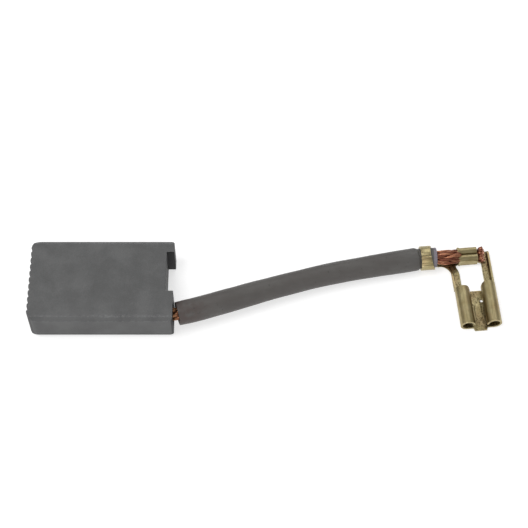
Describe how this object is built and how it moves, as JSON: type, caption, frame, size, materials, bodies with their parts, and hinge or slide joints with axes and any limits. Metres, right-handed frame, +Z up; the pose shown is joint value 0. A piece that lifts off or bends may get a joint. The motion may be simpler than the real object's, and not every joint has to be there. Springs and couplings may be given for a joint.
{
  "type": "carbon brush",
  "caption": "Rectangular carbon brush block with a serrated contact face, a spring notch, a sleeved copper lead and a brass flag receptacle.",
  "frame": {"origin": "centre of the block's lower broad face, on the surface that the brush lies on", "axes": "+X along the block from the contact face to the lead end, +Y across the block from the lead side to the far side, +Z up through the thickness"},
  "size_m": [0.0908, 0.0191, 0.007],
  "materials": {
    "carbon": "matt ground carbon graphite",
    "tamped_powder": "matt copper and graphite powder",
    "copper": "bright to tarnished stranded copper",
    "sleeve": "satin grey silicone rubber",
    "brass": "dull stamped brass sheet"
  },
  "bodies": {
    "root": {"carbon_block": "carbon", "tamping_plug": "tamped_powder", "copper_strand": "copper", "insulating_sleeve": "sleeve", "flag_terminal": "brass"}
  },
  "joints": []
}
